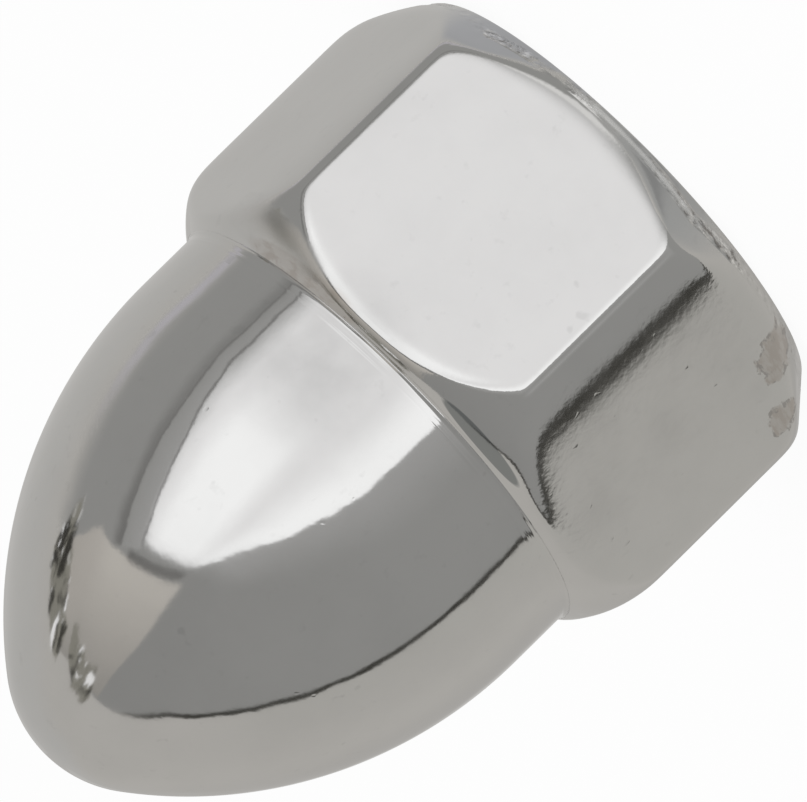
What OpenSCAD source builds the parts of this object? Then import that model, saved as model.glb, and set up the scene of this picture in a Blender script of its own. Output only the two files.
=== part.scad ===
// Tall chrome-plated cap nut, turned from one piece of hexagon bar.
// +Z runs from the bearing face up the thread axis to the tip of the dome.
// The origin is the centre of the bearing face, and one flat faces +X.

/* [Hexagon] */
// Width across the flats, the wrench size
across_flats = 12.7; // [12:0.1:14]
// Height of the hexagon, from the bearing face to the foot of the dome
hex_height = 7.7; // [6.5:0.05:10]
// Radius of the six upright edges, softened by polishing
edge_r = 0.9; // [0.3:0.1:1.8]
// How far inside the flats the flat bearing face ends
bearing_inset = 0.5; // [0.2:0.05:1]
// Angle of both bevels against the bearing face
bevel_angle = 45; // [35:1:50]
// Rounding where the lower bevel runs into the upright edges
lower_round = 1.8; // [0.4:0.1:2.4]
// Rounding where the upper bevel runs into the upright edges
upper_round = 2.8; // [0.4:0.1:3]

/* [Dome] */
// Height of the whole nut, from the bearing face to the tip
total_height = 18.4; // [16.5:0.1:22]
// Diameter of the dome at its foot
dome_d = 12; // [10.5:0.1:12.6]
// Radius of the dome's long side curve
side_r = 10.8; // [8:0.1:20]
// Radius of the dome's tip
tip_r = 3; // [1:0.1:4.5]
// Fillet in the neck, where the upper bevel meets the dome
neck_r = 0.5; // [0.1:0.05:1]

/* [Threaded hole] */
// Inner diameter of the thread, the size of the drilled hole
thread_minor_d = 6.6; // [5:0.1:8]
// Outer diameter of the thread, the size of the screw
thread_major_d = 7.94; // [6:0.01:10]
// How much wider than the screw the countersunk mouth is
mouth_clearance = 0.4; // [0.2:0.1:1]
// Angle of the countersink, side to side
mouth_angle = 90; // [80:1:120]
// Depth of the hole, down to where the drill's point begins
hole_depth = 13; // [9:0.1:14]
// Angle of the drill's point, side to side
drill_angle = 118; // [110:1:140]

/* [Hidden] */
$fn = 180;

sides = 6;
half_side = 180 / sides;
flat_r = across_flats / 2;
// Keeps the turned outline just clear of the upright edges
turning_gap = 0.05;
corner_r = (flat_r - edge_r) / cos(half_side) + edge_r;
turned_r = corner_r + turning_gap;
bearing_r = flat_r - bearing_inset;
dome_r = dome_d / 2;

// Where the dome's side curve leaves its straight foot, and where its round tip takes over
tip_centre_z = total_height - tip_r;
side_centre_z = tip_centre_z - sqrt(pow(side_r - tip_r, 2) - pow(side_r - dome_r, 2));
touch_angle = atan2(tip_centre_z - side_centre_z, side_r - dome_r);
touch_z = tip_centre_z + tip_r * sin(touch_angle);

mouth_r = thread_major_d / 2 + mouth_clearance / 2;
hole_r = thread_minor_d / 2;
mouth_depth = (mouth_r - hole_r) / tan(mouth_angle / 2);
point_depth = hole_r / tan(drill_angle / 2);
// How far a cutting shape runs past the face that it opens
overrun = 1;

// How far in from its own face a bevel's rounding has its centre
function round_centre(face_r, r) =
    (r + (turned_r - r - face_r) * sin(bevel_angle)) / cos(bevel_angle);

// Hexagon bar with round upright edges, standing on the bearing face
module hexagon_bar(height) {
    reach = (flat_r - edge_r) / cos(half_side);
    edge_angles = [for (i = [0 : sides - 1]) (2 * i + 1) * half_side];
    linear_extrude(height = height)
        union() {
            polygon([for (a = edge_angles, side = [-1, 1])
                [reach * cos(a) + edge_r * cos(a + side * half_side),
                 reach * sin(a) + edge_r * sin(a + side * half_side)]]);
            for (a = edge_angles)
                rotate(a) translate([reach, 0]) circle(r = edge_r);
        }
}

// Half outline of the hexagon's turned bevels
module bevel_outline() {
    lower_z = round_centre(bearing_r, lower_round);
    upper_z = hex_height - round_centre(dome_r, upper_round);
    lower_x = turned_r - lower_round;
    upper_x = turned_r - upper_round;
    polygon([
        [0, 0],
        [bearing_r, 0],
        [lower_x + lower_round * sin(bevel_angle), lower_z - lower_round * cos(bevel_angle)],
        [turned_r, lower_z],
        [turned_r, upper_z],
        [upper_x + upper_round * sin(bevel_angle), upper_z + upper_round * cos(bevel_angle)],
        [dome_r, hex_height],
        [0, hex_height]
    ]);
    translate([lower_x, lower_z]) circle(r = lower_round);
    translate([upper_x, upper_z]) circle(r = upper_round);
}

// Half outline of the dome: a straight foot, a long side curve and a round tip.
// The tip's circle lies inside the side's circle and touches it at touch_z.
module dome_outline() {
    translate([0, overrun]) square([dome_r, max(side_centre_z, hex_height) - overrun]);
    intersection() {
        translate([dome_r - side_r, side_centre_z]) circle(r = side_r);
        square([dome_r, touch_z]);
    }
    intersection() {
        translate([0, tip_centre_z]) circle(r = tip_r);
        square([dome_r, total_height + overrun]);
    }
}

// Small fillet in the neck, between the upper bevel and the dome's straight foot
module neck_outline() {
    reach = neck_r * tan((90 - bevel_angle) / 2);
    translate([dome_r, hex_height])
        difference() {
            polygon([
                [-dome_r, -reach],
                [reach * cos(bevel_angle), -reach * sin(bevel_angle)],
                [0, reach]
            ]);
            translate([neck_r, reach]) circle(r = neck_r);
        }
}

// Tapped hole from below: countersunk mouth, drilled wall and the drill's point
module threaded_hole() {
    translate([0, 0, -overrun])
        cylinder(r = hole_r, h = hole_depth + overrun);
    translate([0, 0, hole_depth])
        cylinder(r1 = hole_r, r2 = 0, h = point_depth);
    translate([0, 0, -overrun])
        cylinder(r1 = mouth_r + overrun * tan(mouth_angle / 2), r2 = hole_r,
            h = mouth_depth + overrun);
}

module cap_nut() {
    color([0.66, 0.66, 0.65])
        difference() {
            intersection() {
                hexagon_bar(total_height + overrun);
                rotate_extrude() {
                    bevel_outline();
                    dome_outline();
                    neck_outline();
                }
            }
            threaded_hole();
        }
}

cap_nut();
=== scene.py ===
import math

import bmesh
import bpy
from mathutils import Matrix, Vector


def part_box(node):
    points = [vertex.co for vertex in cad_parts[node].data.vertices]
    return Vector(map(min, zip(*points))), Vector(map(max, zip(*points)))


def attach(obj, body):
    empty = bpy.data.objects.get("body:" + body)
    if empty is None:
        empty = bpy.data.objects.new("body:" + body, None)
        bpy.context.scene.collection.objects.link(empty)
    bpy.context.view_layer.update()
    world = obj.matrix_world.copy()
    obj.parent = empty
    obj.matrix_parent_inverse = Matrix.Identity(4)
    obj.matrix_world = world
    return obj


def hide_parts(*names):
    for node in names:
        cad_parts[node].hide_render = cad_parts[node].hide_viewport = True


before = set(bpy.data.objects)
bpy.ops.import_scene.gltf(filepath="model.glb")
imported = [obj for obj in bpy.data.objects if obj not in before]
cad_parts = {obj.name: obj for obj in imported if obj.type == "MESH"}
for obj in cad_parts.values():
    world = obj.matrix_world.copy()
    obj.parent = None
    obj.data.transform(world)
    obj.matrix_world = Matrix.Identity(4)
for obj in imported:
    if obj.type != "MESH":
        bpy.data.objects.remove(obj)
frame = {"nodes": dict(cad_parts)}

bl_info = {
    "name": "Chrome cap nut",
    "version": (1, 0, 0),
    "blender": (4, 5, 0),
    "location": "3D View > Sidebar > Cap nut",
    "description": "Builds a tall chrome-plated cap nut and the light tent that it stands in",
    "category": "Add Mesh",
}

NODE = "cap_nut"
MM = 0.001
SIDES = 6
HALF_SIDE = math.pi / SIDES

# The frame gives the nut's height, its width across the flats and its reach to the upright edges
LOW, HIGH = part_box(NODE)
HEIGHT = HIGH.z - LOW.z
FLAT_RADIUS = (HIGH.x - LOW.x) / 2
CORNER_RADIUS = (HIGH.y - LOW.y) / 2
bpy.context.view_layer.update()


# ---------------------------------------------------------------- sizes and finishes

class CapNutSizes(bpy.types.PropertyGroup):
    """Sizes of the nut's turned outline, its hexagon and its thread"""

    hexagon_height: bpy.props.FloatProperty(
        name="Hexagon height", description="From the bearing face to the foot of the dome",
        default=7.7 * MM, unit="LENGTH")
    bearing_inset: bpy.props.FloatProperty(
        name="Bearing inset", description="How far inside the flats the bearing face ends",
        default=0.4 * MM, unit="LENGTH")
    lower_angle: bpy.props.FloatProperty(
        name="Lower bevel angle", description="Angle of the lower bevel against the bearing face",
        default=math.radians(49), subtype="ANGLE", unit="ROTATION")
    upper_angle: bpy.props.FloatProperty(
        name="Upper bevel angle", description="Angle of the upper bevel against the bearing face",
        default=math.radians(33), subtype="ANGLE", unit="ROTATION")
    lower_round: bpy.props.FloatProperty(
        name="Lower rounding", description="Where the lower bevel runs into the upright edges",
        default=1.8 * MM, unit="LENGTH")
    upper_round: bpy.props.FloatProperty(
        name="Upper rounding", description="Where the upper bevel runs into the upright edges",
        default=2.8 * MM, unit="LENGTH")
    upright_crispness: bpy.props.FloatProperty(
        name="Crispness of the upright edges", description="How sharply two flats meet, higher is sharper",
        default=80, min=12, max=200)
    crown: bpy.props.FloatProperty(
        name="Crown",
        description="How far the flats bow inwards at the upright edges, as a share of the width",
        default=0.018, subtype="FACTOR", min=0, max=0.05)
    lower_crispness: bpy.props.FloatProperty(
        name="Crispness of the lower bevel", description="How sharply a flat meets it, higher is sharper",
        default=40, min=8, max=200)
    upper_crispness: bpy.props.FloatProperty(
        name="Crispness of the upper bevel", description="How sharply a flat meets it, higher is sharper",
        default=60, min=8, max=200)
    nick_depth: bpy.props.FloatProperty(
        name="Nick depth", description="Depth of the nicks along the rim of the bearing face",
        default=0.05 * MM, unit="LENGTH")
    dome_diameter: bpy.props.FloatProperty(
        name="Dome diameter", description="Diameter of the dome at its foot",
        default=12 * MM, unit="LENGTH")
    side_radius: bpy.props.FloatProperty(
        name="Side radius", description="Radius of the dome's long side curve",
        default=10.8 * MM, unit="LENGTH")
    tip_radius: bpy.props.FloatProperty(
        name="Tip radius", description="Radius of the dome's tip",
        default=3 * MM, unit="LENGTH")
    neck_fillet: bpy.props.FloatProperty(
        name="Neck fillet", description="Where the upper bevel meets the dome",
        default=0.15 * MM, unit="LENGTH")
    rim_round: bpy.props.FloatProperty(
        name="Rim rounding", description="Rounding of the bearing face's edges",
        default=0.12 * MM, unit="LENGTH")
    minor_diameter: bpy.props.FloatProperty(
        name="Minor diameter", description="Diameter of the drilled hole",
        default=6.6 * MM, unit="LENGTH")
    major_diameter: bpy.props.FloatProperty(
        name="Major diameter", description="Diameter of the screw that fits",
        default=7.94 * MM, unit="LENGTH")
    thread_pitch: bpy.props.FloatProperty(
        name="Thread pitch", description="Rise of the thread in one turn",
        default=25.4 / 18 * MM, unit="LENGTH")
    thread_end: bpy.props.FloatProperty(
        name="Thread end", description="Height at which the thread has run out",
        default=12 * MM, unit="LENGTH")
    mouth_clearance: bpy.props.FloatProperty(
        name="Mouth clearance", description="How much wider than the screw the countersink is",
        default=0.4 * MM, unit="LENGTH")
    hole_depth: bpy.props.FloatProperty(
        name="Hole depth", description="Down to where the drill's point begins",
        default=13 * MM, unit="LENGTH")
    drill_angle: bpy.props.FloatProperty(
        name="Drill angle", description="Angle of the drill's point, side to side",
        default=math.radians(118), subtype="ANGLE", unit="ROTATION")
    columns: bpy.props.IntProperty(
        name="Columns", description="Mesh columns round the nut", default=288, min=72, max=288)


class CapNutFinish(bpy.types.PropertyGroup):
    """Colours and surface finish of the plating and of the bare thread"""

    chrome_colour: bpy.props.FloatVectorProperty(
        name="Chrome colour", description="Colour of the plating",
        default=(0.66, 0.66, 0.65), subtype="COLOR", min=0, max=1)
    chrome_roughness: bpy.props.FloatProperty(
        name="Chrome roughness", description="Roughness of the polished plating",
        default=0.06, subtype="FACTOR", min=0, max=1)
    # Also the colour of the painted highlight on a band of the rim
    bare_metal_and_highlight_colour: bpy.props.FloatVectorProperty(
        name="Bare metal", description="Colour of fresh knocks on the rim",
        default=(0.95, 0.95, 0.94), subtype="COLOR", min=0, max=1)
    grime_colour: bpy.props.FloatVectorProperty(
        name="Grime", description="Colour of the dirt in the knocks",
        default=(0.30, 0.29, 0.28), subtype="COLOR", min=0, max=1)
    # Also the colour of the painted shade strip in the crease of the upper bevel
    stain_and_crease_shade_colour: bpy.props.FloatVectorProperty(
        name="Stain", description="Colour of the stains on one flat",
        default=(0.50, 0.47, 0.44), subtype="COLOR", min=0, max=1)
    # Painted shade: the dark colour laid in the crease of the upper bevel, near the dome
    crease_shade_colour: bpy.props.FloatVectorProperty(
        name="Tarnish", description="Colour of the dark film on the upper bevel, near the dome",
        default=(0.31, 0.325, 0.325), subtype="COLOR", min=0, max=1)
    thread_colour: bpy.props.FloatVectorProperty(
        name="Thread colour", description="Colour of the thinly plated thread",
        default=(0.42, 0.41, 0.39), subtype="COLOR", min=0, max=1)
    thread_roughness: bpy.props.FloatProperty(
        name="Thread roughness", description="Roughness of the thread",
        default=0.3, subtype="FACTOR", min=0, max=1)


class CapNutStudio(bpy.types.PropertyGroup):
    """Brightness of the cards that the chrome mirrors, and the colour of the floor"""

    tent: bpy.props.FloatVectorProperty(
        name="Tent", description="Pale cloth all round the nut",
        default=(0.575, 0.556, 0.530), subtype="COLOR", min=0, max=4)
    tent_bright: bpy.props.FloatVectorProperty(
        name="Bright side of the tent", description="Pale cloth on the light panel's side",
        default=(0.575, 0.564, 0.548), subtype="COLOR", min=0, max=4)
    tent_back: bpy.props.FloatVectorProperty(
        name="Back of the tent", description="Pale cloth behind the nut, low down",
        default=(0.475, 0.462, 0.445), subtype="COLOR", min=0, max=4)
    tent_shade: bpy.props.FloatVectorProperty(
        name="Tent in shade", description="Pale cloth next to the gap",
        default=(0.540, 0.527, 0.500), subtype="COLOR", min=0, max=4)
    room: bpy.props.FloatVectorProperty(
        name="Room", description="Darker room in front of the tent",
        default=(0.380, 0.377, 0.368), subtype="COLOR", min=0, max=4)
    room_high: bpy.props.FloatVectorProperty(
        name="Upper room", description="The room's walls high up",
        default=(0.328, 0.325, 0.318), subtype="COLOR", min=0, max=4)
    underneath: bpy.props.FloatVectorProperty(
        name="Underneath", description="The table under the nut, as its lower bevel sees it",
        default=(0.45, 0.45, 0.445), subtype="COLOR", min=0, max=4)
    own_shade: bpy.props.FloatVectorProperty(
        name="Own shade", description="The table right under the nut, in its shade",
        default=(0.32, 0.32, 0.32), subtype="COLOR", min=0, max=4)
    table_lit: bpy.props.FloatVectorProperty(
        name="Lit table", description="The table in front of the light panel",
        default=(0.92, 0.91, 0.90), subtype="COLOR", min=0, max=4)
    table_far: bpy.props.FloatVectorProperty(
        name="Far table", description="The table behind the nut, a little blue",
        default=(0.47, 0.473, 0.49), subtype="COLOR", min=0, max=4)
    lilac: bpy.props.FloatVectorProperty(
        name="Lilac cloth", description="A faintly lilac fold between the room and the tent",
        default=(0.57, 0.55, 0.585), subtype="COLOR", min=0, max=4)
    ceiling: bpy.props.FloatVectorProperty(
        name="Ceiling", description="Warm ceiling over the light panel",
        default=(0.66, 0.625, 0.58), subtype="COLOR", min=0, max=4)
    ceiling_side: bpy.props.FloatVectorProperty(
        name="Side of the ceiling", description="The ceiling towards the tent",
        default=(0.52, 0.49, 0.455), subtype="COLOR", min=0, max=4)
    ceiling_far: bpy.props.FloatVectorProperty(
        name="Far ceiling", description="The ceiling right over the nut",
        default=(0.37, 0.353, 0.33), subtype="COLOR", min=0, max=4)
    spill: bpy.props.FloatVectorProperty(
        name="Spill", description="The room lit up beside the light panel",
        default=(0.46, 0.455, 0.45), subtype="COLOR", min=0, max=4)
    panel: bpy.props.FloatVectorProperty(
        name="Light panel", description="Large white light panel",
        default=(1.07, 1.06, 1.07), subtype="COLOR", min=0, max=4)
    glow: bpy.props.FloatVectorProperty(
        name="Glow", description="Brighter parts of the light panel",
        default=(1.3, 1.3, 1.31), subtype="COLOR", min=0, max=4)
    frame: bpy.props.FloatVectorProperty(
        name="Frame", description="Dark frame of the light panel",
        default=(0.20, 0.195, 0.19), subtype="COLOR", min=0, max=4)
    gap: bpy.props.FloatVectorProperty(
        name="Gap", description="Black gap between tent and room",
        default=(0.05, 0.048, 0.042), subtype="COLOR", min=0, max=4)
    floor: bpy.props.FloatVectorProperty(
        name="Floor", description="Colour of the floor",
        default=(0.9, 0.9, 0.9), subtype="COLOR", min=0, max=1)


# ---------------------------------------------------------------- node helpers

class Field:
    """A node's output that can be used in sums like a number"""

    def __init__(self, tree, socket):
        self.tree = tree
        self.socket = socket

    def math(self, operation, *others):
        return calculate(self.tree, operation, self, *others)

    def __add__(self, other):
        return self.math("ADD", other)

    def __radd__(self, other):
        return self.math("ADD", other)

    def __sub__(self, other):
        return self.math("SUBTRACT", other)

    def __rsub__(self, other):
        return calculate(self.tree, "SUBTRACT", other, self)

    def __mul__(self, other):
        return self.math("MULTIPLY", other)

    def __rmul__(self, other):
        return self.math("MULTIPLY", other)

    def __truediv__(self, other):
        return self.math("DIVIDE", other)

    def __rtruediv__(self, other):
        return calculate(self.tree, "DIVIDE", other, self)


def plug(tree, socket, value):
    """Gives an input a number, a colour or another node's output."""
    if isinstance(value, Field):
        tree.links.new(value.socket, socket)
    elif isinstance(value, bpy.types.NodeSocket):
        tree.links.new(value, socket)
    else:
        socket.default_value = value


def add_node(tree, kind, inputs=None, **settings):
    """Adds a node, with its settings and its inputs by name or number."""
    node = tree.nodes.new(kind)
    for name, value in settings.items():
        setattr(node, name, value)
    for key, value in (inputs or {}).items():
        plug(tree, node.inputs[key], value)
    return node


def calculate(tree, operation, *values):
    node = add_node(tree, "ShaderNodeMath", dict(enumerate(values)), operation=operation)
    return Field(tree, node.outputs[0])


def clamped(tree, value):
    """The value held between 0 and 1."""
    return calculate(tree, "MINIMUM", calculate(tree, "MAXIMUM", value, 0.0), 1.0)


# ---------------------------------------------------------------- the nut's outline

def arc(centre, radius, start, end, steps):
    """Points on an arc in the (radius, height) plane, both ends included, angles in radians."""
    turns = [start + (end - start) * i / steps for i in range(steps + 1)]
    return [(centre[0] + radius * math.cos(a), centre[1] + radius * math.sin(a)) for a in turns]


def line(start, end, spacing):
    """Points from start up to but not including end, about as far apart as spacing."""
    steps = max(1, math.ceil(math.dist(start, end) / spacing))
    return [(start[0] + (end[0] - start[0]) * i / steps, start[1] + (end[1] - start[1]) * i / steps)
            for i in range(steps)]


def rounded(corners, spacing):
    """A path through corners given as (radius, height, rounding), with an arc at each inner corner."""
    path = []
    here = Vector(corners[0][:2])
    for before, corner, after in zip(corners, corners[1:], corners[2:]):
        point = Vector(corner[:2])
        back = (Vector(before[:2]) - point).normalized()
        ahead = (Vector(after[:2]) - point).normalized()
        half = back.angle(ahead) / 2
        reach = corner[2] / math.tan(half)
        start, end = point + back * reach, point + ahead * reach
        centre = point + (back + ahead).normalized() * corner[2] / math.sin(half)
        path += line(here, start, spacing)
        first = math.atan2(*(start - centre).yx)
        turn = math.remainder(math.atan2(*(end - centre).yx) - first, math.tau)
        steps = max(4, math.ceil(abs(turn) * corner[2] / spacing))
        path += arc(centre, corner[2], first, first + turn, steps)[:-1]
        here = end
    return path + line(here, Vector(corners[-1][:2]), spacing)


def outside_path(sizes):
    """The turned outline from the tip down to the mouth of the hole, as (radius, height) points."""
    dome_radius = sizes.dome_diameter / 2
    tip_height = HEIGHT - sizes.tip_radius
    lean = sizes.side_radius - sizes.tip_radius
    side_height = tip_height - math.sqrt(lean ** 2 - (sizes.side_radius - dome_radius) ** 2)
    side_centre = (dome_radius - sizes.side_radius, side_height)
    touch = math.atan2(tip_height - side_height, sizes.side_radius - dome_radius)
    path = arc((0, tip_height), sizes.tip_radius, math.pi / 2, touch, 18)[:-1]
    path += arc(side_centre, sizes.side_radius, touch, 0, 44)[:-1]

    # The bevels run out to just past the upright edges, where the hexagon cuts them
    turned = CORNER_RADIUS + 0.05 * MM
    bearing = FLAT_RADIUS - sizes.bearing_inset
    lower_slope, upper_slope = math.tan(sizes.lower_angle), math.tan(sizes.upper_angle)
    mouth = (sizes.major_diameter + sizes.mouth_clearance) / 2
    minor = sizes.minor_diameter / 2
    return path + rounded([
        (dome_radius, side_height, 0),
        (dome_radius, sizes.hexagon_height, sizes.neck_fillet),
        (turned, sizes.hexagon_height - (turned - dome_radius) * upper_slope, sizes.upper_round),
        (turned, (turned - bearing) * lower_slope, sizes.lower_round),
        (bearing, 0, sizes.rim_round),
        (mouth, 0, sizes.rim_round / 2),
        (minor, mouth - minor, 0),
    ], 0.11 * MM)


def thread_rows(sizes):
    """One column of the thread, from a pitch below its start to its end, as (radius, height) points."""
    minor, major = sizes.minor_diameter / 2, sizes.major_diameter / 2
    rows_per_turn = 16
    crest, flank, root = 4, 5, 2
    profile = [minor] * crest
    profile += [minor + (major - minor) * i / flank for i in range(flank)]
    profile += [major] * root
    profile += [major - (major - minor) * i / flank for i in range(flank)]
    step = sizes.thread_pitch / rows_per_turn
    start = thread_start(sizes) - sizes.thread_pitch
    count = math.ceil((sizes.thread_end - start) / step)
    return [(profile[i % rows_per_turn], start + i * step) for i in range(count + 1)]


def thread_start(sizes):
    """Height at which the countersink is as wide as the thread."""
    return sizes.mouth_clearance / 2


def section_mesh(sizes):
    """The nut's half section as a mesh of points: radius on X, height on Z.

    One mark is on the thread's rows, and another on all rows inside the hole."""
    outside = outside_path(sizes)
    outside.pop()
    while outside[-1][0] < sizes.major_diameter / 2 + 0.02 * MM:
        outside.pop()
    thread = thread_rows(sizes)
    minor = sizes.minor_diameter / 2
    bore = [(minor, sizes.thread_end + (sizes.hole_depth - sizes.thread_end) * i / 3) for i in (1, 2, 3)]
    point = sizes.hole_depth + minor / math.tan(sizes.drill_angle / 2)
    bore += line((minor * 0.985, sizes.hole_depth + 0.03 * MM), (0, point), 0.5 * MM)
    bore.append((0, point))
    rows = outside + thread + bore
    mesh = bpy.data.meshes.new("section")
    mesh.from_pydata([(r, 0, z) for r, z in rows], [], [])
    threaded = [0.0] * len(outside) + [1.0] * len(thread) + [0.0] * len(bore)
    inside = [0.0] * len(outside) + [1.0] * (len(thread) + len(bore))
    for name, values in (("threaded", threaded), ("inside", inside)):
        mesh.attributes.new(name, "FLOAT", "POINT").data.foreach_set("value", values)
    return mesh


# ---------------------------------------------------------------- the nut's node tree

NUMBER_INPUTS = (
    "Flat radius", "Hexagon height", "Upright crispness", "Crown", "Lower crispness",
    "Upper crispness", "Nick depth", "Crowding", "Pitch", "Thread start", "Thread end",
    "Minor radius", "Major radius")
TREE_INPUTS = (
    ("Geometry", "NodeSocketGeometry"),
    ("Columns", "NodeSocketInt"),
    *((name, "NodeSocketFloat") for name in NUMBER_INPUTS),
    ("Material", "NodeSocketMaterial"),
)


def hexagon_tree():
    """Turns a half section into a nut: round rows, cut by a hexagon, with a helical thread inside."""
    tree = bpy.data.node_groups.new("Turned hexagon nut", "GeometryNodeTree")
    for name, kind in TREE_INPUTS:
        tree.interface.new_socket(name, in_out="INPUT", socket_type=kind)
    tree.interface.new_socket("Geometry", in_out="OUTPUT", socket_type="NodeSocketGeometry")
    given = tree.nodes.new("NodeGroupInput").outputs

    def value(name):
        return Field(tree, given[name])

    # A grid with a row for each point of the section and a column for each step round the nut
    size = add_node(tree, "GeometryNodeAttributeDomainSize", {"Geometry": given["Geometry"]})
    rows = Field(tree, size.outputs["Point Count"])
    grid = add_node(tree, "GeometryNodeMeshGrid", {
        "Vertices X": value("Columns") + 1, "Vertices Y": rows})
    index = Field(tree, tree.nodes.new("GeometryNodeInputIndex").outputs[0])
    column = calculate(tree, "FLOOR", (index + 0.5) / rows)
    row = index - column * rows

    def from_section(kind, source):
        sample = add_node(tree, "GeometryNodeSampleIndex", data_type=kind, domain="POINT")
        plug(tree, sample.inputs["Geometry"], given["Geometry"])
        plug(tree, sample.inputs["Value"], source)
        plug(tree, sample.inputs["Index"], row + 0.1)
        return sample.outputs[0]

    def mark(name):
        named = add_node(tree, "GeometryNodeInputNamedAttribute", {"Name": name}, data_type="FLOAT")
        return Field(tree, from_section("FLOAT", named.outputs[0]))

    place = from_section("FLOAT_VECTOR", tree.nodes.new("GeometryNodeInputPosition").outputs[0])
    split = add_node(tree, "ShaderNodeSeparateXYZ", {"Vector": place})
    row_radius, row_height = Field(tree, split.outputs["X"]), Field(tree, split.outputs["Z"])
    threaded, inside = mark("threaded"), mark("inside")

    # Columns crowd together at the upright edges, where the surface turns fastest
    turn = column / value("Columns") * SIDES
    side = calculate(tree, "ROUND", turn)
    across = (turn - side) * 2
    crowded = across + value("Crowding") * calculate(tree, "SINE", across * math.pi) / math.pi
    swing = crowded * HALF_SIDE
    angle = side * (2 * HALF_SIDE) + swing

    # The hexagon's reach at this angle: the flats roll off softly towards the upright edges
    to_flat = calculate(tree, "COSINE", swing)
    to_next = calculate(tree, "COSINE", 2 * HALF_SIDE - calculate(tree, "ABSOLUTE", swing))
    crisp = value("Upright crispness")
    both = calculate(tree, "POWER", to_flat, crisp) + calculate(tree, "POWER", to_next, crisp)
    slant = calculate(tree, "TANGENT", calculate(tree, "ABSOLUTE", swing)) / math.tan(HALF_SIDE)
    bow = 1 - value("Crown") * calculate(tree, "POWER", slant, 6.0)
    reach = value("Flat radius") / calculate(tree, "POWER", both, 1 / crisp) * bow

    # The bevels cut the flats just as softly, and more sharply near the upright edges
    corner = calculate(tree, "ABSOLUTE", crowded)
    on_upper = clamped(tree, row_height / value("Hexagon height") * 3 - 1)
    crisp_here = value("Lower crispness") * (1 - on_upper) + value("Upper crispness") * on_upper
    bevel_crisp = crisp_here * (1 + 3 * calculate(tree, "POWER", corner, 4.0))
    turned = calculate(tree, "MAXIMUM", row_radius, value("Flat radius") * 0.6)
    # The share stays at or under 1, because a large one raised to this power would overflow
    nearer = calculate(tree, "MINIMUM", reach, turned)
    share = calculate(tree, "POWER", nearer / calculate(tree, "MAXIMUM", reach, turned), bevel_crisp)
    cut_radius = nearer * calculate(tree, "POWER", 1 + share, -1 / bevel_crisp)
    under_neck = clamped(tree, (value("Hexagon height") - row_height) / (0.4 * MM))
    outer_radius = row_radius - (turned - cut_radius) * under_neck

    # The thread climbs by a pitch in each turn, between the countersink and its run-out
    climbed = row_height + value("Pitch") * angle / math.tau
    low, high = value("Thread start"), value("Thread end")
    thread_height = calculate(tree, "MINIMUM", calculate(tree, "MAXIMUM", climbed, low), high)
    countersink = value("Major radius") - (thread_height - low)
    runout = value("Minor radius") + calculate(tree, "MAXIMUM", high - thread_height, 0.0) * 0.8
    cut = calculate(tree, "MAXIMUM", row_radius, countersink)
    thread_radius = calculate(tree, "MINIMUM", cut, runout)

    wall_radius = calculate(tree, "MINIMUM", row_radius, value("Major radius") * 2)
    plain_radius = outer_radius * (1 - inside) + wall_radius * inside
    radius = plain_radius * (1 - threaded) + thread_radius * threaded
    height = row_height * (1 - threaded) + thread_height * threaded

    def place_at(distance):
        return add_node(tree, "ShaderNodeCombineXYZ", {
            "X": distance * calculate(tree, "COSINE", angle),
            "Y": distance * calculate(tree, "SINE", angle),
            "Z": height}).outputs[0]

    # Knocks have left nicks in a line along the lower bevel, higher up towards the upright edges
    knocks = add_node(tree, "ShaderNodeTexNoise", {
        "Vector": place_at(radius), "Scale": 1 / (0.3 * MM), "Detail": 2.0})
    bitten = calculate(tree, "MAXIMUM", Field(tree, knocks.outputs["Fac"]) - 0.5, 0.0) * 4
    off_line = height - (0.16 + 0.24 * corner * corner) * MM
    on_line = calculate(tree, "MAXIMUM", 1 - calculate(tree, "ABSOLUTE", off_line) / (0.22 * MM), 0.0)
    knocked = on_line * (1 - inside)
    point = place_at(radius - bitten * knocked * value("Nick depth"))

    # How near an outside point is to an edge of the hexagon, for the finish
    bevel_gap = calculate(tree, "ABSOLUTE", row_radius - reach) / (0.7 * MM)
    bevel_edge = calculate(tree, "MAXIMUM", 1 - bevel_gap, 0.0)
    upright_gap = (1 - corner) * 3
    on_flat = calculate(tree, "GREATER_THAN", row_radius, reach)
    upright = calculate(tree, "MAXIMUM", 1 - upright_gap, 0.0) * on_flat
    edge = calculate(tree, "MAXIMUM", bevel_edge, upright) * (1 - inside) * under_neck

    outwards = add_node(tree, "GeometryNodeFlipFaces", {"Mesh": grid.outputs["Mesh"]})
    moved = add_node(tree, "GeometryNodeSetPosition", {
        "Geometry": outwards.outputs[0], "Position": point})
    shape = moved.outputs[0]
    for name, field in (("inside", inside), ("edge", edge), ("knocked", knocked)):
        stored = add_node(tree, "GeometryNodeStoreNamedAttribute", {
            "Geometry": shape, "Name": name, "Value": field}, data_type="FLOAT", domain="POINT")
        shape = stored.outputs[0]
    merged = add_node(tree, "GeometryNodeMergeByDistance", {"Geometry": shape, "Distance": 0.002 * MM})
    smooth = add_node(tree, "GeometryNodeSetShadeSmooth", {"Geometry": merged.outputs[0]})
    real = add_node(tree, "GeometryNodeRealizeInstances", {"Geometry": smooth.outputs[0]})
    painted = add_node(tree, "GeometryNodeSetMaterial", {
        "Geometry": real.outputs[0], "Material": given["Material"]})
    result = tree.nodes.new("NodeGroupOutput")
    tree.links.new(painted.outputs[0], result.inputs[0])
    return tree


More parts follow.
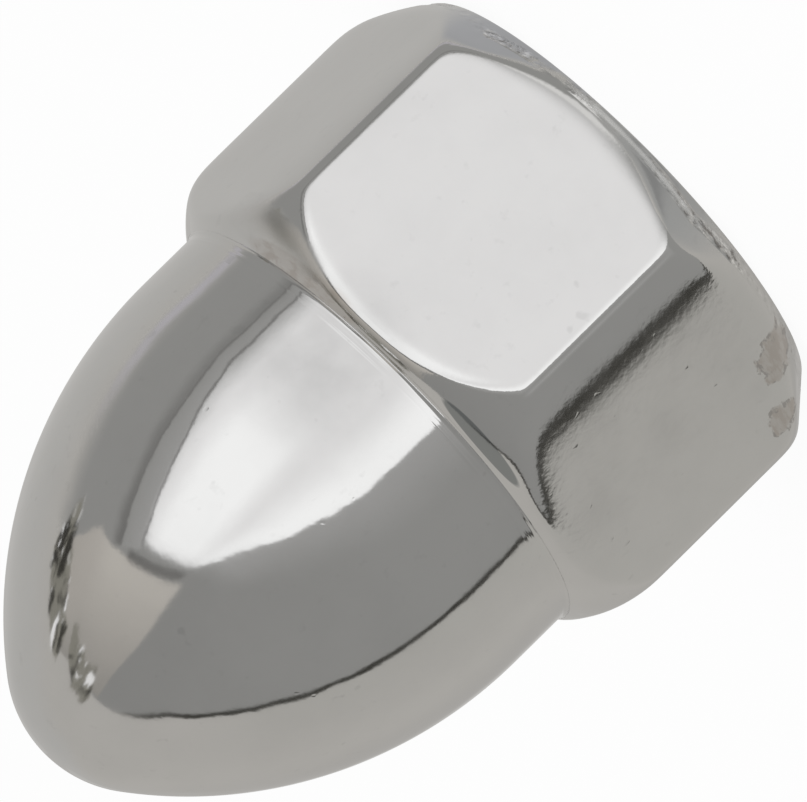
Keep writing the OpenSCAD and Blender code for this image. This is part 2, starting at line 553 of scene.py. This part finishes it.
def nodes_to_mesh(name, start, tree, values):
    """Runs a node tree on a mesh and returns an object that holds the plain result."""
    maker = bpy.data.objects.new(name + "_maker", start)
    bpy.context.scene.collection.objects.link(maker)
    modifier = maker.modifiers.new("Nut", "NODES")
    modifier.node_group = tree
    for item in tree.interface.items_tree:
        if item.in_out == "INPUT" and item.name in values:
            modifier[item.identifier] = values[item.name]
    evaluated = maker.evaluated_get(bpy.context.evaluated_depsgraph_get())
    mesh = bpy.data.meshes.new_from_object(evaluated)
    maker.modifiers.remove(modifier)
    bpy.data.objects.remove(maker)
    mesh.name = name
    piece = bpy.data.objects.new(name, mesh)
    bpy.context.scene.collection.objects.link(piece)
    return piece


# ---------------------------------------------------------------- materials

def new_material(name):
    """An empty node material with its output node."""
    material = bpy.data.materials.new(name)
    material.use_nodes = True
    tree = material.node_tree
    tree.nodes.clear()
    return material, tree, tree.nodes.new("ShaderNodeOutputMaterial")


def object_place(tree):
    """A point's place on the object, which the patterns follow."""
    return add_node(tree, "ShaderNodeTexCoord").outputs["Object"]


def painted(tree, factor, under, over):
    """One colour laid over another, where the lower one can be a node's output."""
    lower = under if isinstance(under, bpy.types.NodeSocket) else (*under, 1)
    node = add_node(tree, "ShaderNodeMix", {
        "Factor": factor, "A": lower, "B": (*over, 1)}, data_type="RGBA")
    return node.outputs["Result"]


def noise(tree, grain, detail=2.0, roughness=0.5, distortion=0.0):
    """Noise on Object coordinates, whose blotches are about as wide as grain."""
    node = add_node(tree, "ShaderNodeTexNoise", {
        "Vector": object_place(tree), "Scale": 1 / grain, "Detail": detail, "Roughness": roughness,
        "Distortion": distortion})
    return Field(tree, node.outputs["Fac"])


def attribute(tree, name):
    return Field(tree, add_node(tree, "ShaderNodeAttribute", attribute_name=name).outputs["Fac"])


def height_on_nut(tree):
    """Height over the bearing face."""
    return Field(tree, add_node(tree, "ShaderNodeSeparateXYZ", {"Vector": object_place(tree)}).outputs["Z"])


def band(tree, value, low, high, soft):
    """1 between low and high, with soft ends outside them."""
    rise = clamped(tree, (value - low) / soft + 1)
    return rise * clamped(tree, (high - value) / soft + 1)


def ring_noise(tree, spacing):
    """Noise that changes quickly with height and slowly round the nut, like marks of a turning tool."""
    rings = add_node(tree, "ShaderNodeMapping", {"Vector": object_place(tree), "Scale": (0.05, 0.05, 1)})
    node = add_node(tree, "ShaderNodeTexNoise", {
        "Vector": rings.outputs[0], "Scale": 1 / spacing, "Detail": 1.0})
    return Field(tree, node.outputs["Fac"])


def around(tree):
    """The angle round the axis from +X towards +Y, the distance from the axis and the height."""
    split = add_node(tree, "ShaderNodeSeparateXYZ", {"Vector": object_place(tree)})
    x, y = Field(tree, split.outputs["X"]), Field(tree, split.outputs["Y"])
    radius = calculate(tree, "SQRT", x * x + y * y)
    return calculate(tree, "ARCTAN2", y, x), radius, Field(tree, split.outputs["Z"])


def arc_patch(tree, angle, length, radius=None, width=None):
    """A patch along an arc, given by its middle and half its length in degrees.

    With a radius it has half its width too, both in millimetres."""
    turn, distance, _ = around(tree)
    along = (turn - math.radians(angle)) / math.radians(length)
    off = along * along
    if radius:
        aside = (distance - radius * MM) / (width * MM)
        off = off + aside * aside
    return calculate(tree, "MAXIMUM", 1 - off, 0.0)


def drawn_noise(tree, grain, stretch):
    """Noise whose blotches are drawn out round the axis."""
    turn, _, height = around(tree)
    place = add_node(tree, "ShaderNodeCombineXYZ", {"X": turn * CORNER_RADIUS / stretch, "Y": height})
    node = add_node(tree, "ShaderNodeTexNoise", {
        "Vector": place.outputs[0], "Scale": 1 / (grain * MM), "Detail": 3.0, "Roughness": 0.6})
    return Field(tree, node.outputs["Fac"])


def nearness(tree, centre, radius):
    """1 at a point given in millimetres, 0 at the radius and less than 0 past it."""
    away = add_node(tree, "ShaderNodeVectorMath", {
        0: object_place(tree), 1: Vector(centre) * MM}, operation="DISTANCE")
    return 1 - Field(tree, away.outputs["Value"]) / (radius * MM)


def soft_spot(tree, centre, radius):
    """A patch that fades evenly towards its radius."""
    return clamped(tree, nearness(tree, centre, radius))


def spot(tree, centre, radius):
    """A patch with a torn outline."""
    return clamped(tree, (nearness(tree, centre, radius) + noise(tree, 0.45 * MM, 3.0, 0.6) * 1.6 - 1.0) * 4)


def chrome_material(finish, sizes):
    """Bright plating with a grey thread inside.

    It is wavy on the dome, ringed at the neck and knocked at the rim."""
    material, tree, output = new_material("chrome")
    inside, edge = attribute(tree, "inside"), attribute(tree, "edge")
    height = height_on_nut(tree)
    neck = sizes.hexagon_height
    on_dome = clamped(tree, (height - neck) / (0.5 * MM))

    waves = noise(tree, 1.5 * MM, 1.5, 0.5) * (0.0012 + on_dome * 0.012)
    ripple = noise(tree, 0.4 * MM, 2.0) * (0.0004 + on_dome * 0.0008)
    grain = noise(tree, 0.15 * MM, 2.0) * (0.0003 + edge * 0.0017)

    # Marks of the turning tool run round the foot of the dome
    rings = ring_noise(tree, 0.1 * MM) * band(tree, height, neck, neck + 0.2 * MM, 0.08 * MM) * 0.018

    # Knocks and grit roughen the lower bevel in a line along the rim
    dents = drawn_noise(tree, 0.16, 2.5)
    clumps = clamped(tree, (noise(tree, 2.5 * MM, 1.0) - 0.5) * 6) * 0.7
    clumps = clumps + arc_patch(tree, 86, 8) * 1.2 + arc_patch(tree, 24, 13) * 1.2
    on_line = attribute(tree, "knocked")
    knocked = clamped(tree, on_line * 2.4 - 0.7) * clamped(tree, clumps + 0.12)
    pitted = clamped(tree, (noise(tree, 0.34 * MM, 1.0) - 0.742) * 10) * (1 - inside)

    relief = waves + ripple + grain + rings + dents * knocked * 0.06 - pitted * 0.0012
    bump = add_node(tree, "ShaderNodeBump", {
        "Height": relief, "Distance": 1 * MM, "Strength": 1.0})

    # Thin smears, pits and specks take a little off the brightness, a painted shade dims the dome near the
    # neck, and two brown stains take off more
    smears = clamped(tree, noise(tree, 2.2 * MM, 4.0, 0.62) * 3 - 1.2)
    # Painted shade: a blotchy darker patch on the dome near the neck, dimming the light panel's reflection
    # there
    painted_shade_patch = soft_spot(tree, (2.6, 5.3, 8.6), 2.4) * noise(tree, 1.1 * MM, 3.0)
    specks = clamped(tree, (noise(tree, 0.45 * MM, 3.0, 0.6) - 0.64) * 9)
    dull = 1 - (smears * 0.04 + pitted * 0.1 + painted_shade_patch * 0.3 + specks * 0.05)
    clean = painted(tree, dull, (0, 0, 0), finish.chrome_colour)
    stained = calculate(tree, "MAXIMUM", spot(tree, (6.3, -1.0, 0.7), 0.9), spot(tree, (6.3, -2.6, 1.4), 0.6))
    film_noise = drawn_noise(tree, 0.22, 3.0)
    speckled = clamped(tree, (film_noise - 0.42) * 8)
    brown = painted(tree, stained * (0.55 + speckled * 0.4), clean, finish.stain_and_crease_shade_colour)

    # Painted shade lies in the crease along the upper bevel, near the dome: dark on one side of the upright
    # edge, brown and flecked on the other
    on_bevel = band(tree, height, neck - 1.1 * MM, neck - 0.05 * MM, 0.06 * MM)
    painted_crease_shade = clamped(tree, arc_patch(tree, 27, 13, 6.31, 0.15) * 5) * on_bevel
    darkened = painted(tree, painted_crease_shade, brown, finish.crease_shade_colour)
    # Painted shade: a brown, flecked strip in the crease on the other side of the upright edge
    crease_strip_shade = clamped(tree, arc_patch(tree, 81, 19, 6.2, 0.26) * 3) * on_bevel
    flecks = clamped(tree, (film_noise - 0.5) * 9)
    with_crease_shade = painted(tree, crease_strip_shade * (0.35 + flecks * 0.5), darkened, finish.stain_and_crease_shade_colour)
    matt = clamped(tree, arc_patch(tree, 92, 19, 6.48, 0.4) * 3) * on_bevel

    # The knocks along the rim show bright bare metal beside dark grime, and a painted highlight in the bare
    # metal's colour brightens a band of the rim on the camera's side
    torn = drawn_noise(tree, 0.13, 2.2)
    # Painted highlight: a bright band along the rim on the camera's side
    painted_highlight_band = clamped(tree, on_line * 4 - 2.4) * clamped(tree, arc_patch(tree, 48, 22) * 1.5) * 0.8
    stain_edge = clamped(tree, stained * (1 - stained) * 6) * clamped(tree, (0.53 - torn) * 12)
    worn = clamped(tree, knocked * 1.6)
    grime = calculate(tree, "MAXIMUM", stain_edge * 0.6, clamped(tree, (0.47 - torn) * 12) * worn)
    grimy = painted(tree, grime, with_crease_shade, finish.grime_colour)
    bare_and_highlight = calculate(tree, "MAXIMUM", painted_highlight_band, clamped(tree, (torn - 0.54) * 12) * worn)
    plated = painted(tree, bare_and_highlight, grimy, finish.bare_metal_and_highlight_colour)
    colour = painted(tree, inside, plated, finish.thread_colour)
    roughness = (finish.chrome_roughness + smears * 0.03 + matt * 0.18 + painted_highlight_band * 0.35
                 + inside * (finish.thread_roughness - finish.chrome_roughness))
    shader = add_node(tree, "ShaderNodeBsdfPrincipled", {
        "Metallic": 1.0, "Roughness": roughness, "Normal": bump.outputs[0]})
    plug(tree, shader.inputs["Base Color"], colour)
    tree.links.new(shader.outputs[0], output.inputs["Surface"])
    return material


def soft_step(tree, value, width):
    """Rises smoothly from 0 at 0 to 1 at width, or is 1 all over where the width is 0."""
    if width <= 0:
        return 1.0
    node = add_node(tree, "ShaderNodeMapRange", {"Value": value, "From Min": 0.0, "From Max": width},
                    interpolation_type="SMOOTHSTEP")
    return Field(tree, node.outputs["Result"])


def card_cover(tree, fade, ragged=0.0):
    """How much of a card covers what is behind it, and the height on it, each from 0 to 1.

    The fades are for the left, right, low and high side, each a share of the card's width or height.
    A ragged card's sides wander by about that share."""
    place = add_node(tree, "ShaderNodeUVMap", uv_map="card").outputs["UV"]
    split = add_node(tree, "ShaderNodeSeparateXYZ", {"Vector": place})
    across, up = Field(tree, split.outputs["X"]), Field(tree, split.outputs["Y"])
    if ragged:
        across = across + (noise(tree, 50 * MM, 3.0, 0.6) - 0.5) * ragged
    left, right, low, high = fade
    cover = soft_step(tree, across, left)
    for value, width in ((1 - across, right), (up, low), (1 - up, high)):
        cover = calculate(tree, "MULTIPLY", cover, soft_step(tree, value, width))
    return cover, up


def finish_card(material, tree, output, shade, cover):
    """Joins a card's colour and cover into its surface."""
    glow = add_node(tree, "ShaderNodeEmission", {"Strength": 1.0})
    tree.links.new(shade, glow.inputs["Color"])
    clear = tree.nodes.new("ShaderNodeBsdfTransparent")
    mix = add_node(tree, "ShaderNodeMixShader", {0: cover, 1: clear.outputs[0], 2: glow.outputs[0]})
    tree.links.new(mix.outputs[0], output.inputs["Surface"])
    material.cycles.emission_sampling = "NONE"
    return material


def glow_material(name, colour, far_colour=None, fade=(0, 0, 0, 0), ragged=0.0):
    """A card's front, which runs from one colour on its low side to another on its high side."""
    material, tree, output = new_material(name)
    cover, up = card_cover(tree, fade, ragged)
    shade = painted(tree, up, colour, far_colour or colour)
    return finish_card(material, tree, output, shade, cover)


def clutter_material(name, dark, bright):
    """Tangled cloth and stands, as dark and bright scraps with torn edges."""
    material, tree, output = new_material(name)
    cover, _ = card_cover(tree, (0.3, 0.3, 0.15, 0.15), 0.4)
    scraps = noise(tree, 85 * MM, 3.0, 0.6, 1.0)
    grey = clamped(tree, (scraps - 0.42) * 9)
    lit = clamped(tree, (noise(tree, 60 * MM, 1.0, 0.5, 0.8) - 0.6) * 16)
    murk = painted(tree, grey, dark, [6 * share for share in dark])
    shade = painted(tree, lit, murk, bright)
    torn = clamped(tree, cover * 2.6 - noise(tree, 70 * MM, 2.0) * 1.2)
    return finish_card(material, tree, output, shade, torn)


def seen_directly(tree):
    """1 for camera, glossy and transmission rays, 0 for the rays that light things."""
    path = tree.nodes.new("ShaderNodeLightPath").outputs
    camera = Field(tree, path["Is Camera Ray"])
    seen = calculate(tree, "MAXIMUM", camera, Field(tree, path["Is Glossy Ray"]))
    return calculate(tree, "MAXIMUM", seen, Field(tree, path["Is Transmission Ray"]))


def floor_material(colour):
    """A pale floor that looks white and still takes the nut's shadow."""
    material, tree, output = new_material("floor")
    cloth = add_node(tree, "ShaderNodeBsdfDiffuse", {"Color": (*colour, 1)})
    white = add_node(tree, "ShaderNodeEmission", {"Color": (1, 1, 1, 1), "Strength": 1.0})
    mix = add_node(tree, "ShaderNodeMixShader", {
        0: seen_directly(tree) * 0.93, 1: cloth.outputs[0], 2: white.outputs[0]})
    tree.links.new(mix.outputs[0], output.inputs["Surface"])
    return material


# ---------------------------------------------------------------- the studio

# The camera looks at the nut from this bearing (from +X towards +Y) and height, turned about its own
# axis by the roll
CAMERA_BEARING = math.radians(44.9)
CAMERA_HEIGHT = math.radians(11.46)
CAMERA_ROLL = math.radians(-134.5)
CAMERA_DISTANCE = 600 * MM
VIEW_WIDTH = 18.293 * MM
AIM = Vector((0.167, 0.149, 6.897)) * MM
SENSOR = 36
TENT_RADIUS = 0.8
FLOOR_RADIUS = 3.0
LAMP_DISTANCE = 0.7


def facing(turn, rise):
    """The direction at a bearing and a height over the horizon, in radians."""
    return Vector((math.cos(rise) * math.cos(turn), math.cos(rise) * math.sin(turn), math.sin(rise)))


def toward(bearing, height):
    """The direction at a bearing left or right of the camera and a height over the horizon, in degrees."""
    return facing(CAMERA_BEARING + math.radians(bearing), math.radians(height))


def stage_piece(name, mesh, material):
    piece = bpy.data.objects.new(name, mesh)
    mesh.materials.append(material)
    bpy.context.scene.collection.objects.link(piece)
    return piece


def reflected_only(piece):
    """The nut mirrors this card, and nothing else sees it or is lit by it."""
    piece.visible_camera = False
    piece.visible_diffuse = False
    piece.visible_shadow = False
    piece.visible_transmission = False


def card_piece(name, rows, distance, material):
    """A card round the nut, through rows of points (bearing, height) in degrees, from low to high.

    Each row runs from left to right, and the card is straight between neighbouring points."""
    steps = 8
    grid = [[toward(*place) for place in row] for row in rows]
    tall, wide = len(grid) - 1, len(grid[0]) - 1
    points, places = [], []
    for i in range(tall * steps + 1):
        row = min(i // steps, tall - 1)
        v = i / steps - row
        for j in range(wide * steps + 1):
            column = min(j // steps, wide - 1)
            u = j / steps - column
            low = grid[row][column].slerp(grid[row][column + 1], u)
            high = grid[row + 1][column].slerp(grid[row + 1][column + 1], u)
            points.append(low.slerp(high, v) * distance)
            places.append((j / (wide * steps), i / (tall * steps)))
    across = wide * steps + 1
    faces = [(i * across + j, (i + 1) * across + j, (i + 1) * across + j + 1, i * across + j + 1)
             for i in range(tall * steps) for j in range(wide * steps)]
    mesh = bpy.data.meshes.new(name)
    mesh.from_pydata(points, [], faces)
    layer = mesh.uv_layers.new(name="card")
    for loop in mesh.loops:
        layer.data[loop.index].uv = places[loop.vertex_index]
    reflected_only(stage_piece(name, mesh, material))


def card(name, rows, distance, colour, **looks):
    """A plain glowing card."""
    card_piece(name, rows, distance, glow_material(name, colour, **looks))


def strip_rows(start, end, width):
    """The rows of a narrow card from one direction (bearing, height) to another, its width in degrees."""
    (x0, y0), (x1, y1) = start, end
    length = math.hypot(x1 - x0, y1 - y0)
    along = Vector(((x1 - x0) / length, (y1 - y0) / length)) * width / 2
    side = Vector((along.y, -along.x))
    return [(Vector(place) - side, Vector(place) + side) for place in (start, end)]


def between(left, right):
    """The rows of a card from its two sides."""
    return [list(pair) for pair in zip(left, right)]


def build_tent(studio):
    """The surroundings that the chrome mirrors: a pale tent, a darker room, and a large light panel.

    The cards stand at slightly different distances in metres, so that a nearer one covers a farther one."""
    ball = bmesh.new()
    bmesh.ops.create_uvsphere(ball, u_segments=48, v_segments=24, radius=TENT_RADIUS)
    mesh = bpy.data.meshes.new("tent")
    ball.to_mesh(mesh)
    ball.free()
    mesh.uv_layers.new(name="card")
    reflected_only(stage_piece("tent", mesh, glow_material("tent", studio.tent)))
    card("tent_bright", [[(112, -70), (200, -70)], [(112, 70), (200, 70)]], 0.795, studio.tent_bright,
         fade=(0.3, 0.2, 0.2, 0.2))
    card("tent_back", [[(-200, -70), (-125, -70)], [(-200, 24), (-125, 24)]], 0.79, studio.tent_back,
         fade=(0.3, 0.5, 0, 0.4))
    card("tent_shade", [[(-140, -70), (-80, -70)], [(-140, 60), (-80, 60)]], 0.785, studio.tent_shade,
         fade=(0.9, 0, 0.2, 0.3))
    card("underneath", [[(-135, -56), (-45, -56)], [(135, -56), (45, -56)]], 0.78, studio.underneath,
         fade=(0.3, 0.3, 0.3, 0.3))
    card("own_shade", [[(-135, -76), (-45, -76)], [(135, -76), (45, -76)]], 0.775, studio.own_shade,
         fade=(0.4, 0.4, 0.4, 0.4))
    card("table_far", [[(115, -66), (178, -66)], [(115, -18), (178, -18)]], 0.77, studio.table_far,
         fade=(0.3, 0.3, 0.2, 0.4))

    # The room ends on the left at a black gap, which leans over from the upright towards the zenith
    card("room_left", [[(-87, -60), (10, -60)], [(-87, 28), (10, 28)], [(-52, 80), (10, 84)]], 0.76,
         studio.room, far_colour=studio.room_high)
    card("room_right", [[(10, -60), (120, -60)], [(10, 24), (120, 24)], [(10, 40), (104, 36)],
                        [(10, 84), (60, 80)]], 0.76, studio.room, far_colour=studio.room_high,
         fade=(0, 0.18, 0, 0))
    card("tent_gap", [[(-89, -60), (-85.2, -60)], [(-89, 28), (-84.6, 28)], [(-82.5, 55), (-76, 55)],
                      [(-60, 80), (-40, 82)]], 0.7, studio.gap, fade=(0.3, 0.4, 0.05, 0.2), ragged=0.5)
    card("ceiling", [[(13, 46), (58, 44), (82, 36), (106, 33)], [(10, 83), (50, 81), (84, 70), (102, 58)]],
         0.74, studio.ceiling, far_colour=studio.ceiling_far, fade=(0.02, 0.03, 0.03, 0))
    card("ceiling_side", [[(66, 42), (82, 36), (106, 33)], [(58, 62), (80, 60), (102, 58)]], 0.735,
         studio.ceiling_side, fade=(0.9, 0.03, 0.03, 0.6))
    card("lilac_cloth", [[(108, -60), (119, -60)], [(108, 16), (119, 16)]], 0.755, studio.lilac,
         fade=(0.5, 0.5, 0.1, 0.3))
    for name, start, end, width in (("clutter_high", (40, 82), (92, 59), 18),
                                    ("clutter_side", (101, 60), (108, 26), 20)):
        card_piece(name, strip_rows(start, end, width), 0.73,
                   clutter_material(name, studio.gap, studio.panel))

    # The light panel, the light that spills past its left side, its brighter parts and its dark frame
    card("panel_spill", [[(-62, -50), (-10, -50)], [(-44, 0), (-10, 0)], [(-6, 42), (16, 42)]], 0.725,
         studio.spill, fade=(0.9, 0, 0.1, 0.1))
    left = ((-30, -75), (-17.5, 0), (-8, 20), (4.5, 32), (18, 41.5))
    right = ((62, -75), (73, 0), (69, 20), (64, 32), (48, 41.5))
    card("light_panel", between(left, right), 0.72, studio.panel,
         fade=(0.02, 0.2, 0.2, 0.1), ragged=0.05)
    card("table_lit", [[(28, -72), (74, -72)], [(28, -44), (74, -44)]], 0.715, studio.table_lit,
         fade=(0.3, 0.4, 0.4, 0.3))
    beside = ((4, -50), (9, 0), (12, 20), (17, 32), (22, 41.5))
    card("glow_side", between(left, beside), 0.71, studio.glow,
         fade=(0.06, 0.8, 0.22, 0.1), ragged=0.05)
    card("glow_lamp", [[(9, -8), (58, -8)], [(10, 41), (54, 41)]], 0.70, studio.glow,
         fade=(0.3, 0.3, 0.4, 0.12))
    card("frame_top", strip_rows((15, 44), (60, 43), 4), 0.69, studio.frame, fade=(0.3, 0.3, 0.1, 0.1))

    # The panel's side frame is a paler strip with a thin dark line along its outer edge
    outer = ((74, -50), (74, -4), (72, 14), (67.5, 34), (64, 42))
    inner = ((65, -50), (66, -4), (60, 14), (54, 31), (49, 42))
    card("frame_strip", [outer, inner], 0.695, studio.room, far_colour=studio.spill,
         fade=(0.2, 0.02, 0, 0.22), ragged=0.02)
    shaded = ((82, -50), (82, -4), (80, 14), (76, 34), (72, 42))
    card("frame_side", between(outer, shaded), 0.69, studio.room_high,
         far_colour=studio.frame, fade=(0.08, 0.9, 0, 0.05))
    for name, path, near, far in (("frame_outer_line", outer, -0.8, 0.8),
                                  ("frame_inner_line", inner, 0.2, 2.2)):
        sides = [[(bearing + near, height), (bearing + far, height)] for bearing, height in path]
        card(name, sides, 0.68, studio.frame, fade=(0.45, 0.45, 0.1, 0.1), ragged=0.5)


def build_floor(studio):
    """A large round floor at the height of the bearing face."""
    count = 64
    turns = [math.tau * i / count for i in range(count)]
    ring = [(FLOOR_RADIUS * math.cos(turn), FLOOR_RADIUS * math.sin(turn), LOW.z) for turn in turns]
    mesh = bpy.data.meshes.new("floor")
    mesh.from_pydata(ring, [], [tuple(range(count))])
    floor = stage_piece("floor", mesh, floor_material(studio.floor))
    floor.visible_glossy = False


def build_light():
    """A white world and one soft lamp on the light panel's side."""
    world = bpy.data.worlds.new("studio")
    world.use_nodes = True
    tree = world.node_tree
    tree.nodes.clear()
    strength = 0.65 + seen_directly(tree) * 0.35
    glow = add_node(tree, "ShaderNodeBackground", {"Color": (1, 1, 1, 1), "Strength": strength})
    output = tree.nodes.new("ShaderNodeOutputWorld")
    tree.links.new(glow.outputs[0], output.inputs["Surface"])
    bpy.context.scene.world = world

    lamp = bpy.data.lights.new("soft_lamp", "AREA")
    lamp.shape = "DISK"
    lamp.size = 0.5
    lamp.energy = 1.6
    light = bpy.data.objects.new("soft_lamp", lamp)
    direction = toward(25, 55)
    light.location = direction * LAMP_DISTANCE
    light.rotation_euler = direction.to_track_quat("Z", "Y").to_euler()
    light.visible_glossy = False
    bpy.context.scene.collection.objects.link(light)


def build_camera():
    """A long lens, so that the nut is seen almost without perspective."""
    data = bpy.data.cameras.new("camera")
    data.sensor_width = SENSOR
    data.lens = SENSOR * CAMERA_DISTANCE / VIEW_WIDTH
    data.clip_start = 0.01
    data.clip_end = 10
    camera = bpy.data.objects.new("camera", data)
    back = facing(CAMERA_BEARING, CAMERA_HEIGHT)
    upright = back.to_track_quat("Z", "Y").to_matrix()
    rolled = upright @ Matrix.Rotation(CAMERA_ROLL, 3, "Z")
    camera.matrix_world = Matrix.Translation(AIM + back * CAMERA_DISTANCE) @ rolled.to_4x4()
    bpy.context.scene.collection.objects.link(camera)
    bpy.context.scene.camera = camera


# ---------------------------------------------------------------- operators, panel and run

class CAPNUT_OT_nut(bpy.types.Operator):
    """Build the cap nut: hexagon, dome and threaded hole in one plated piece"""

    bl_idname = "cap_nut.build_nut"
    bl_label = "Build cap nut"

    def execute(self, context):
        sizes = context.scene.cap_nut_sizes
        finish = context.scene.cap_nut_finish
        piece = nodes_to_mesh("cap_nut_plated", section_mesh(sizes), hexagon_tree(), {
            "Columns": sizes.columns,
            "Flat radius": FLAT_RADIUS,
            "Hexagon height": sizes.hexagon_height,
            "Upright crispness": sizes.upright_crispness,
            "Crown": sizes.crown,
            "Lower crispness": sizes.lower_crispness,
            "Upper crispness": sizes.upper_crispness,
            "Nick depth": sizes.nick_depth,
            "Crowding": 0.75,
            "Pitch": sizes.thread_pitch,
            "Thread start": thread_start(sizes),
            "Thread end": sizes.thread_end,
            "Minor radius": sizes.minor_diameter / 2,
            "Major radius": sizes.major_diameter / 2,
            "Material": chrome_material(finish, sizes),
        })
        if not piece.data.polygons:
            raise RuntimeError("the node tree made no faces for the nut")
        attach(piece, "root")
        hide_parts(NODE)
        return {"FINISHED"}


class CAPNUT_OT_stage(bpy.types.Operator):
    """Build the stage: light tent, floor, light and camera"""

    bl_idname = "cap_nut.build_stage"
    bl_label = "Build stage"

    def execute(self, context):
        studio = context.scene.cap_nut_studio
        build_tent(studio)
        build_floor(studio)
        build_light()
        build_camera()
        context.scene.view_settings.view_transform = "Standard"
        return {"FINISHED"}


class CAPNUT_PT_panel(bpy.types.Panel):
    """Sizes, finishes and the build buttons"""

    bl_label = "Cap nut"
    bl_idname = "CAPNUT_PT_panel"
    bl_space_type = "VIEW_3D"
    bl_region_type = "UI"
    bl_category = "Cap nut"

    def draw(self, context):
        layout = self.layout
        for group in (context.scene.cap_nut_sizes, context.scene.cap_nut_finish,
                      context.scene.cap_nut_studio):
            box = layout.box()
            for name in group.bl_rna.properties.keys():
                if name not in ("rna_type", "name"):
                    box.prop(group, name)
        layout.operator(CAPNUT_OT_nut.bl_idname)
        layout.operator(CAPNUT_OT_stage.bl_idname)


CLASSES = (CapNutSizes, CapNutFinish, CapNutStudio, CAPNUT_OT_nut, CAPNUT_OT_stage, CAPNUT_PT_panel)


def register():
    for cls in CLASSES:
        bpy.utils.register_class(cls)
    bpy.types.Scene.cap_nut_sizes = bpy.props.PointerProperty(type=CapNutSizes)
    bpy.types.Scene.cap_nut_finish = bpy.props.PointerProperty(type=CapNutFinish)
    bpy.types.Scene.cap_nut_studio = bpy.props.PointerProperty(type=CapNutStudio)


def unregister():
    del bpy.types.Scene.cap_nut_studio
    del bpy.types.Scene.cap_nut_finish
    del bpy.types.Scene.cap_nut_sizes
    for cls in reversed(CLASSES):
        bpy.utils.unregister_class(cls)


def main():
    register()
    bpy.ops.cap_nut.build_nut()
    bpy.ops.cap_nut.build_stage()


if __name__ == "__main__":
    main()
